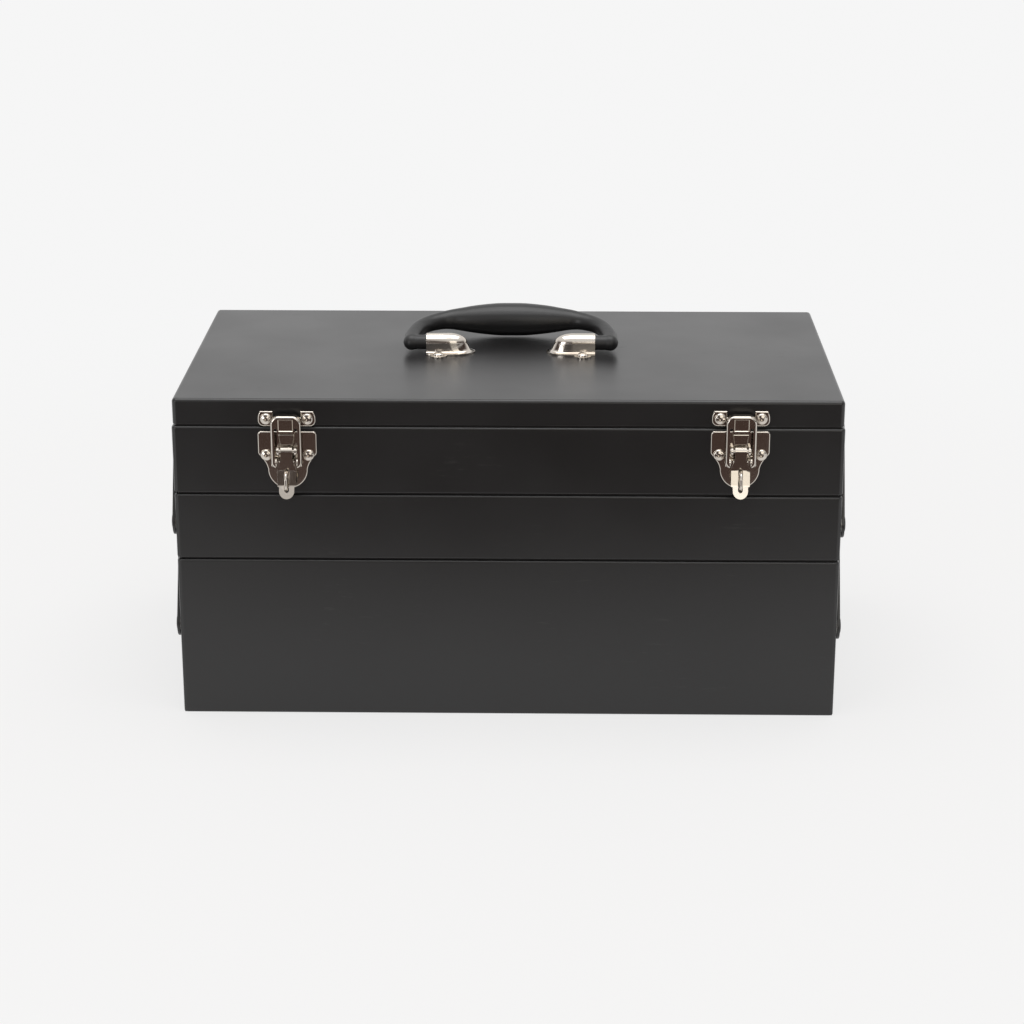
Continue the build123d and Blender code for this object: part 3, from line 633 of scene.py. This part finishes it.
# %% Head the rivets
RIVET_RADIUS = 4.0 * MM
RIVET_DOME = 2.0 * MM
RIVET_CROWN = 0.45 * MM
RIVET_SHOULDER = 1.45 * MM
RIVET_HOLE_DEPTH = 1.9 * MM


def rivet(name, place, outward):
    """One domed rivet whose underside is at a place on the sheet."""
    place, outward = Vector(place), Vector(outward)
    top = place + outward * (RIVET_DOME - RIVET_CROWN)
    piece = rod(name, RIVET_RADIUS, place, top, 40)
    pick("FACE", lambda middle, normal: near((middle - top).length, 0, 0.1 * MM))
    bpy.ops.mesh.bevel(offset=RIVET_SHOULDER, segments=8, profile=0.5)
    pick("FACE", lambda middle, normal: near((middle - top).length, 0, 0.1 * MM))
    bpy.ops.mesh.inset(thickness=0.8 * MM)
    bpy.ops.transform.translate(value=outward * 0.8 * RIVET_CROWN)
    bpy.ops.mesh.inset(thickness=0.6 * MM)
    bpy.ops.transform.translate(value=outward * 0.2 * RIVET_CROWN)
    bpy.ops.mesh.inset(thickness=0.2 * MM)
    push(outward * -RIVET_HOLE_DEPTH)
    tidy_normals()
    clear_selection()
    return piece


def head_rivets(name, node, body, outward):
    """Rivets at the ends of a node's box, for a pair in a row or four at corners."""
    low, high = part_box(node)
    outward = Vector(outward)
    xs = (low.x + RIVET_RADIUS, high.x - RIVET_RADIUS)
    if outward.z:
        ys = (low.y + RIVET_RADIUS, high.y - RIVET_RADIUS)
        places = [(x, y, high.z - RIVET_DOME) for x in xs for y in ys]
    else:
        places = [(x, low.y + RIVET_DOME, (low.z + high.z) / 2) for x in xs]
    made = [rivet(name if index == 0 else "rivet", place, outward)
            for index, place in enumerate(places)]
    activate(made[0])
    for piece in made[1:]:
        piece.select_set(True)
    bpy.ops.object.join()
    smooth(made[0], 50)
    return fit(made[0], body, "nickel_plate", node)


head_rivets("saddle_rivets", "handle_bracket_rivets", "lid", (0, 0, 1))
for side in ("left", "right"):
    head_rivets(side + "_plate_rivets", side + "_latch_plate_rivets", "upper_tray", (0, -1, 0))
    head_rivets(side + "_keeper_rivets", side + "_latch_keeper_rivets", "lid", (0, -1, 0))

# %% [markdown]
# ## The draw latches
#
# A latch is four pressings: a shield on the tray with a tongue and two pivot ears, a lever that
# is pulled down over the padlock eye, a hooked frame on the lever, and a keeper on the lid. The
# flat plates are traced from the front, and their outline is rolled over. A bent strip, such as
# the tongue or the lever, is traced from the side, and a front outline trims it, as a press tool
# does. The hooked frame is a shallow dish: traced, rolled, hollowed from behind and cut open.
# Plating turns every edge into a thin bright line, so each piece gets a small bevel all over.
# The seats for the claw pin's heads are cut after that bevel, because their small steps would
# hold it back.
#
# Both latches are alike, so the right one is modelled and the left one is a copy moved over.

# %% Lay out on the latch's own lines
plate_low, plate_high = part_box("right_latch_plate")
LATCH_X = (plate_low.x + plate_high.x) / 2
LATCH_TOP = plate_high.z / MM
FRONT_Y = plate_high.y
LEVER_Z = LATCH_TOP - 12.8
CLAW_Z = LEVER_Z - 8.0
PIVOT_DEPTH = 5.4
PRESSING = 1.2
LEVER_PIN_HOLE = 1.25
CLAW_PIN_HOLE = 1.15
PIN_HEAD_SEAT = 2.0
PLATE_ROLL = 0.95 * MM
EDGE_BREAK = 0.32 * MM
BEND_BREAK = 0.45 * MM
KEEN_ANGLE = 40


def at(across, height, depth):
    """A point of the right latch: across from its middle, height, and depth out of the tray."""
    return Vector((LATCH_X + across * MM, FRONT_Y - depth * MM, height * MM))


def arc(middle, radius, start, end, steps=8):
    """Points along an arc, as (across, height), between two angles in degrees."""
    turn = (end - start) / steps
    return [(middle[0] + radius * cos(radians(start + index * turn)),
             middle[1] + radius * sin(radians(start + index * turn)))
            for index in range(steps + 1)]


def span(side, inner, outer):
    """From and to, across the latch, for a part that stands on one side of its middle."""
    return sorted((side * inner, side * outer))


def both_halves(right_half):
    """Closes an outline whose right half is given from top to bottom."""
    left_half = [(-across, height) for across, height in reversed(right_half) if across > 0.001]
    return right_half + left_half


def front_plate(name, outline, near_depth, far_depth):
    piece = traced(name, [at(across, height, near_depth) for across, height in outline],
                   (0, (near_depth - far_depth) * MM, 0))
    clear_selection()
    return piece


def side_plate(name, profile, start, end):
    """A plate seen from the side: its profile is (depth, height)."""
    piece = traced(name, [at(start, height, depth) for depth, height in profile],
                   ((end - start) * MM, 0, 0))
    clear_selection()
    return piece


def cross_rod(name, radius, start, end, height, depth, sides=32):
    piece = rod(name, radius * MM, at(start, height, depth), at(end, height, depth), sides)
    clear_selection()
    return piece


def union(piece, *others):
    for other in others:
        combine(piece, other, "UNION")
    return piece


def bore(piece, radius, height, depth):
    combine(piece, cross_rod("drill", radius, -14, 14, height, depth), "DIFFERENCE")


# %% The shield
def press_shield():
    bowl = (0.0, LATCH_TOP - 27.4)
    half = arc((17.7, LATCH_TOP - 2.5), 2.5, 90, 0, 6)
    half += [(20.2, LATCH_TOP - 15.3), (19.9, LATCH_TOP - 16.3), (19.2, LATCH_TOP - 17.3),
             (16.8, LATCH_TOP - 20.4), (15.3, LATCH_TOP - 22.6), (14.4, LATCH_TOP - 24.6)]
    half += arc(bowl, 13.7, 2, -90, 14)
    piece = front_plate("right_shield", both_halves(half), 0.0, PRESSING)
    roll_edges(piece, at(0, 0, PRESSING).y, PLATE_ROLL)
    strip = [(0.6, LATCH_TOP)] + arc((3.2, LATCH_TOP - 2.0), 2.0, 90, 0, 6)
    strip += [(5.2, LATCH_TOP - 9), (4.0, LATCH_TOP - 9)]
    strip += arc((3.2, LATCH_TOP - 2.0), 0.8, 0, 90, 6) + [(0.6, LATCH_TOP - 1.2)]
    tongue = side_plate("tongue", strip, -6, 6)
    taper = [(5.6, LATCH_TOP + 1), (5.6, LATCH_TOP), (4.4, LATCH_TOP - 8.6)]
    taper += [(-across, height) for across, height in taper[::-1]]
    combine(tongue, front_plate("taper", taper, 0.0, 6.0), "INTERSECT")
    soften(tongue, BEND_BREAK, 3, KEEN_ANGLE)
    union(piece, tongue)
    for side in (-1, 1):
        start, end = span(side, 5.3, 5.3 + PRESSING)
        profile = [(0.6, LEVER_Z + 3.0)]
        profile += [(PIVOT_DEPTH + x, z) for x, z in arc((0, LEVER_Z), 3.0, 90, -90, 12)]
        profile += [(0.6, LEVER_Z - 3.0)]
        union(piece, side_plate("ear", profile, start, end))
    bore(piece, LEVER_PIN_HOLE, LEVER_Z, PIVOT_DEPTH)
    soften(piece, EDGE_BREAK, 3, KEEN_ANGLE)
    smooth(piece, KEEN_ANGLE)
    return piece


# %% The lever
def press_lever():
    flare, tab = radians(12.0), radians(24.0)
    half_sheet = PRESSING / 2
    half_width, neck_half, tab_half = 6.4, 3.9, 5.2
    run = [(across, -rise) for across, rise in arc((0, 0), 2.8, 100, 0, 8)]
    run += [(2.8, 6.0), (2.8, 12.6)]
    run += [(3.3, 14.6), (3.3 + 8.0 * sin(flare), 14.6 + 8.0 * cos(flare))]
    edge = run[-1]
    run += [(edge[0] + 0.5, edge[1] + 1.2)]
    bend = run[-1]
    tab_drop = bend[1] + 8.4 * cos(tab)
    run += [(bend[0] + 9.4 * sin(tab), bend[1] + 9.4 * cos(tab))]
    outer, inner = [], []
    for index, (out, down) in enumerate(run):
        before, after = run[max(index - 1, 0)], run[min(index + 1, len(run) - 1)]
        along = Vector((after[0] - before[0], after[1] - before[1])).normalized()
        outer.append((PIVOT_DEPTH + out + along.y * half_sheet, LEVER_Z - down + along.x * half_sheet))
        inner.append((PIVOT_DEPTH + out - along.y * half_sheet, LEVER_Z - down - along.x * half_sheet))
    piece = side_plate("right_lever", outer + inner[::-1], -half_width, half_width)
    end_z = LEVER_Z - tab_drop - 0.1
    edge_z = LEVER_Z - bend[1]
    half = [(0, LEVER_Z + 4), (neck_half, LEVER_Z + 4), (neck_half, LEVER_Z - 4.0)]
    half += [(4.1, LEVER_Z - 5.6), (4.8, LEVER_Z - 7.6), (5.6, LEVER_Z - 9.4), (6.1, LEVER_Z - 11.2)]
    half += [(half_width, LEVER_Z - 13.0), (half_width, edge_z + 0.4), (6.0, edge_z)]
    half += [(tab_half, edge_z - 0.2)] + arc((0, end_z + tab_half), tab_half, 0, -90, 10)
    combine(piece, front_plate("blank", both_halves(half), 0.0, 30.0), "INTERSECT")
    soften(piece, BEND_BREAK, 3, KEEN_ANGLE)
    curl = cross_rod("curl", 2.3, -neck_half, neck_half, LEVER_Z, PIVOT_DEPTH, 40)
    web = side_plate("web", [(PIVOT_DEPTH, LEVER_Z + 1.0), (8.4, LEVER_Z + 1.0), (8.4, LEVER_Z - 1.4),
                             (PIVOT_DEPTH, LEVER_Z - 1.4)], -3.4, 3.4)
    union(piece, curl, web)
    slot_top, slot_low = LEVER_Z - 13.2, LEVER_Z - 25.9
    slot = both_halves(arc((0, slot_top), 1.6, 90, 0, 6) + arc((0, slot_low), 1.6, 0, -90, 6))
    combine(piece, front_plate("slot", slot, 2.0, 30.0), "DIFFERENCE")
    for side in (-1, 1):
        start, end = span(side, half_width - PRESSING, half_width)
        flange = [(4.4, CLAW_Z + 2.1), (7.9, CLAW_Z + 2.2), (8.7, LEVER_Z - 14.2),
                  (10.4, LEVER_Z - 22.3), (5.4, LEVER_Z - 22.3), (3.2, LEVER_Z - 17.0),
                  (3.1, CLAW_Z), (3.4, CLAW_Z + 1.4)]
        union(piece, side_plate("flange", flange, start, end))
    bore(piece, LEVER_PIN_HOLE, LEVER_Z, PIVOT_DEPTH)
    bore(piece, CLAW_PIN_HOLE, CLAW_Z, PIVOT_DEPTH)
    soften(piece, 0.3 * MM, 3, KEEN_ANGLE)
    smooth(piece, KEEN_ANGLE)
    return piece


# %% The hooked frame
def press_claw():
    top, foot, half_width, face = CLAW_Z + 33.6, CLAW_Z - 3.4, 10.4, 9.4
    head_round, foot_round = 5.8, 4.0
    head = (half_width - head_round, top - head_round)
    heel = (half_width - foot_round, foot + foot_round)
    web_low = top - 12.0
    dish = [(0, top)] + arc(head, head_round, 90, 0, 10) + arc(heel, foot_round, 0, -90, 8)
    piece = front_plate("right_claw", both_halves(dish + [(0, foot)]), 3.3, face)
    roll_edges(piece, at(0, 0, face).y, 1.4 * MM, 5)
    inside = [(0, top - PRESSING)] + arc(head, head_round - PRESSING, 90, 0, 10)
    inside += arc(heel, foot_round - PRESSING, 0, -90, 8) + [(0, foot + PRESSING)]
    hollow = front_plate("hollow", both_halves(inside), 2.0, face - PRESSING)
    combine(piece, hollow, "DIFFERENCE")
    window = [(0, web_low), (6.0, web_low), (6.0, web_low + 3.4), (7.8, web_low + 3.4)]
    window += arc((5.7, heel[1]), 2.1, 0, -35, 5) + [(7.2, foot - 1.0), (0, foot - 1.0)]
    combine(piece, front_plate("window", both_halves(window), 2.0, 12.0), "DIFFERENCE")
    for side in (-1, 1):
        boss = cross_rod("boss", 3.0, *span(side, 6.8, half_width), CLAW_Z, PIVOT_DEPTH)
        union(piece, boss)
    panel = block("panel", at(-5.5, web_low + 1.1, face + 0.6), at(5.5, top - 1.8, face - 0.65))
    pick("FACE", lambda place, normal: normal.y > 0.9)
    bpy.ops.transform.resize(value=(0.84, 1, 0.84))
    clear_selection()
    combine(piece, panel, "DIFFERENCE")
    bore(piece, CLAW_PIN_HOLE, CLAW_Z, PIVOT_DEPTH)
    soften(piece, EDGE_BREAK, 3, KEEN_ANGLE)
    for side in (-1, 1):
        seat = cross_rod("seat", PIN_HEAD_SEAT, *span(side, 9.85, 12), CLAW_Z, PIVOT_DEPTH)
        combine(piece, seat, "DIFFERENCE")
    smooth(piece, KEEN_ANGLE)
    return piece


# %% The keeper
def press_keeper():
    node_low, node_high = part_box("right_latch_keeper")
    low, high = node_low.z / MM, node_high.z / MM
    arch, face = low + 6.4, 0.4
    half = [(9.4, arch), (9.4, high), (18.2, high), (19.2, high - 1.8), (19.7, high - 4.0)]
    half += [(19.8, low + 4.6)] + arc((15.8, low + 4.0), 4.0, 0, -90, 8) + [(0, low)]
    piece = front_plate("right_keeper", both_halves([(0, arch)] + half), face - PRESSING, face)
    roll_edges(piece, at(0, 0, face).y, PLATE_ROLL)
    nose = [(5.2, arch), (5.2, low + 0.6), (-5.2, low + 0.6), (-5.2, arch)]
    union(piece, front_plate("nose", nose, -0.2, 3.0))
    soften(piece, EDGE_BREAK, 3, KEEN_ANGLE)
    smooth(piece, KEEN_ANGLE)
    return piece


# %% Fit both latches
left_plate_low, left_plate_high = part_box("left_latch_plate")
TO_LEFT = Vector((left_plate_low.x - plate_low.x, 0, left_plate_high.z - plate_high.z))


def fit_pair(piece, part, body, node):
    """Fits the right piece, and a copy of it moved over to the left latch."""
    activate(piece)
    bpy.ops.object.duplicate()
    copy = bpy.context.object
    copy.name = "left_" + part
    bpy.ops.transform.translate(value=TO_LEFT)
    bpy.ops.object.transform_apply(location=True, rotation=True, scale=True)
    for side, made in (("right", piece), ("left", copy)):
        fit(made, body.format(side), "nickel_plate", node.format(side))


fit_pair(press_shield(), "shield", "upper_tray", "{}_latch_plate")
fit_pair(press_lever(), "lever", "{}_latch_lever", "{}_latch_lever")
fit_pair(press_claw(), "claw", "{}_latch_claw", "{}_latch_claw")
fit_pair(press_keeper(), "keeper", "lid", "{}_latch_keeper")

# %% [markdown]
# ## The studio
#
# The case stands on a pale table in front of a pale wall, and the room is dark on the side where the
# camera stands. The table also carries painted shade: in a broad band in front of the case it shows
# dark brown to light and reflections, which stands in for the shadow of the camera and its operator.
# Black coat and nickel are mostly reflection, so the room is what one sees in them: the lid mirrors
# the bright wall, the fronts mirror the table close by, and the flat nickel mirrors the painted shade
# in front. The camera sees wall and table as plain pale, and so do mirrored and refracted rays,
# outside that dark part. A share of plain paper near the case keeps its soft shadow on the table.

# %% Table, room and soft lamps
PALE = (0.92, 0.92, 0.92, 1.0)
PLAIN_PAPER = (0.71, 0.71, 0.71, 1.0)
# Painted shade: the dark brown that the table shows to light and reflections in front of the case.
TABLE_PAINTED_SHADE = (0.058, 0.040, 0.035, 1.0)
TABLE_PALE = (0.92, 0.91, 0.9, 1.0)
ROOM_BROWN = (0.062, 0.046, 0.040, 1.0)
ROOM_PALE = (0.89, 0.855, 0.835, 1.0)
PAINTED_SHADE_Y = -1.3
PAINTED_SHADE_FULL_TO = 0.76
PAINTED_SHADE_GONE_FROM = 1.1
FAR = 50.0


def shown_to(tree, pale_part):
    """1 for the camera; for mirrored and refracted rays, 1 only in the pale part of the studio."""
    rays = add(tree, "ShaderNodeLightPath")
    mirrored = add(tree, "ShaderNodeMath", operation="MAXIMUM")
    pale_mirrored = add(tree, "ShaderNodeMath", operation="MULTIPLY")
    shown = add(tree, "ShaderNodeMath", operation="MAXIMUM")
    links = tree.links
    links.new(rays.outputs["Is Glossy Ray"], mirrored.inputs[0])
    links.new(rays.outputs["Is Transmission Ray"], mirrored.inputs[1])
    links.new(mirrored.outputs["Value"], pale_mirrored.inputs[0])
    links.new(pale_part, pale_mirrored.inputs[1])
    links.new(rays.outputs["Is Camera Ray"], shown.inputs[0])
    links.new(pale_mirrored.outputs["Value"], shown.inputs[1])
    return shown.outputs["Value"]


def studio_table():
    clear_selection()
    bpy.ops.mesh.primitive_circle_add(vertices=96, radius=30.0, fill_type="NGON",
                                      location=(0, 0, -0.0003))
    table = begin("table_top")
    clear_selection()
    material = bpy.data.materials.new("table_paper")
    material.use_nodes = True
    tree = material.node_tree
    tree.nodes.clear()
    out = add(tree, "ShaderNodeOutputMaterial")
    place = add(tree, "ShaderNodeTexCoord")
    length = add(tree, "ShaderNodeVectorMath", operation="LENGTH")
    fade = add(tree, "ShaderNodeMapRange", interpolation_type="SMOOTHERSTEP", in_From_Min=0.3,
               in_From_Max=1.1, in_To_Min=0.22, in_To_Max=0.0)
    paper = add(tree, "ShaderNodeBsdfDiffuse")
    paper.inputs["Color"].default_value = PLAIN_PAPER
    glow = add(tree, "ShaderNodeEmission", in_Strength=1.0)
    glow.inputs["Color"].default_value = PALE
    seen = add(tree, "ShaderNodeMixShader")
    # Painted shade: the table's colour for light and reflections is dark brown in a broad band in
    # front of the case, fading to pale away from it.
    narrowed = add(tree, "ShaderNodeMapping", in_Scale=(1.25, 1.0, 1.0))
    forward = add(tree, "ShaderNodeVectorMath", operation="MAXIMUM")
    forward.inputs[1].default_value = (-FAR, PAINTED_SHADE_Y, -FAR)
    from_painted_shade = add(tree, "ShaderNodeVectorMath", operation="DISTANCE")
    from_painted_shade.inputs[1].default_value = (0.0, PAINTED_SHADE_Y, 0.0)
    painted_shade_fade = add(tree, "ShaderNodeMapRange", in_From_Min=PAINTED_SHADE_FULL_TO,
                      in_From_Max=PAINTED_SHADE_GONE_FROM)
    bounce_painted_shade = add(tree, "ShaderNodeMix", data_type="RGBA")
    bounce_painted_shade.inputs["A"].default_value = TABLE_PAINTED_SHADE
    bounce_painted_shade.inputs["B"].default_value = TABLE_PALE
    bounce = add(tree, "ShaderNodeBsdfDiffuse")
    pick_ray = add(tree, "ShaderNodeMixShader")
    links = tree.links
    links.new(place.outputs["Object"], length.inputs[0])
    links.new(length.outputs["Value"], fade.inputs["Value"])
    links.new(fade.outputs["Result"], seen.inputs["Fac"])
    links.new(glow.outputs["Emission"], seen.inputs[1])
    links.new(paper.outputs["BSDF"], seen.inputs[2])
    links.new(place.outputs["Object"], narrowed.inputs["Vector"])
    links.new(narrowed.outputs["Vector"], forward.inputs[0])
    links.new(forward.outputs["Vector"], from_painted_shade.inputs[0])
    links.new(from_painted_shade.outputs["Value"], painted_shade_fade.inputs["Value"])
    links.new(painted_shade_fade.outputs["Result"], bounce_painted_shade.inputs["Factor"])
    links.new(bounce_painted_shade.outputs["Result"], bounce.inputs["Color"])
    links.new(shown_to(tree, painted_shade_fade.outputs["Result"]), pick_ray.inputs["Fac"])
    links.new(bounce.outputs["BSDF"], pick_ray.inputs[1])
    links.new(seen.outputs["Shader"], pick_ray.inputs[2])
    links.new(pick_ray.outputs["Shader"], out.inputs["Surface"])
    table.data.materials.append(material)
    return table


def studio_room():
    """Pale to the camera; to the case a pale wall and ceiling with a dark room in front."""
    world = bpy.data.worlds.new("studio_room")
    bpy.context.scene.world = world
    world.use_nodes = True
    tree = world.node_tree
    tree.nodes.clear()
    out = add(tree, "ShaderNodeOutputWorld")
    place = add(tree, "ShaderNodeTexCoord")
    split = add(tree, "ShaderNodeSeparateXYZ")
    back = add(tree, "ShaderNodeMapRange", interpolation_type="SMOOTHSTEP", in_From_Min=-0.45,
               in_From_Max=0.3)
    above = add(tree, "ShaderNodeMapRange", interpolation_type="SMOOTHSTEP", in_From_Min=0.12,
                in_From_Max=0.9)
    most = add(tree, "ShaderNodeMath", operation="MAXIMUM")
    shades = add(tree, "ShaderNodeMix", data_type="RGBA")
    shades.inputs["A"].default_value = ROOM_BROWN
    shades.inputs["B"].default_value = ROOM_PALE
    seen = add(tree, "ShaderNodeMix", data_type="RGBA")
    seen.inputs["B"].default_value = PALE
    light = add(tree, "ShaderNodeBackground", in_Strength=1.0)
    links = tree.links
    links.new(place.outputs["Generated"], split.inputs["Vector"])
    links.new(split.outputs["Y"], back.inputs["Value"])
    links.new(split.outputs["Z"], above.inputs["Value"])
    links.new(back.outputs["Result"], most.inputs[0])
    links.new(above.outputs["Result"], most.inputs[1])
    links.new(most.outputs["Value"], shades.inputs["Factor"])
    links.new(shades.outputs["Result"], seen.inputs["A"])
    links.new(shown_to(tree, most.outputs["Value"]), seen.inputs["Factor"])
    links.new(seen.outputs["Result"], light.inputs["Color"])
    links.new(light.outputs["Background"], out.inputs["Surface"])


def soft_lamp(name, place, aim, size, power, colour=(1.0, 1.0, 1.0)):
    clear_selection()
    place = Vector(place)
    turn = (Vector(aim) - place).to_track_quat("-Z", "Y").to_euler()
    bpy.ops.object.light_add(type="AREA", location=place, rotation=turn)
    lamp = bpy.context.object
    lamp.name = name
    lamp.data.shape = "RECTANGLE"
    lamp.data.size, lamp.data.size_y = size
    lamp.data.energy = power
    lamp.data.color = colour
    lamp.visible_camera = False
    return lamp


studio_table()
studio_room()
soft_lamp("lamp_overhead", (0.0, -0.1, 2.2), (0, 0, 0), (2.0, 1.6), 27.0)
soft_lamp("lamp_right", (0.75, -2.9, 1.0), (0.1, 0, 0.15), (1.3, 1.5), 8.0, (1.0, 0.96, 0.87))
soft_lamp("lamp_left", (-1.6, -2.3, 0.6), (0, 0, 0.1), (0.8, 1.1), 12.0)

# %% [markdown]
# ## The camera
#
# It stands a step back and looks a little down on the lid, with a long lens, so the sides stay
# close to upright.

# %% Place the camera
CAMERA_PLACE = (0.0289, -1.7445, 0.7031)
LOOK_DOWN = 18.82
LOOK_LEFT = 0.92
LENS = 87.3

bpy.ops.object.camera_add(
    location=CAMERA_PLACE, rotation=(radians(90 - LOOK_DOWN), 0.0, radians(LOOK_LEFT))
)
camera = bpy.context.object
camera.name = "bench_camera"
camera.data.lens = LENS
camera.data.clip_start, camera.data.clip_end = 0.05, 100.0
bpy.context.scene.camera = camera
bpy.context.scene.view_settings.view_transform = "Standard"

# %% [markdown]
# ## What stays as it came
#
# Arms, floors, dividers, hinge, pins, padlock staples, washers and shoulder rivets keep their
# solids. Each already has a finish's name, so it only gets the finish of that name.

# %% Carry over the solids
for name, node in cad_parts.items():
    finish_name = node.material_slots[0].material.name.split(".")[0]
    if finish_name in materials:
        node.material_slots[0].material = materials[finish_name]
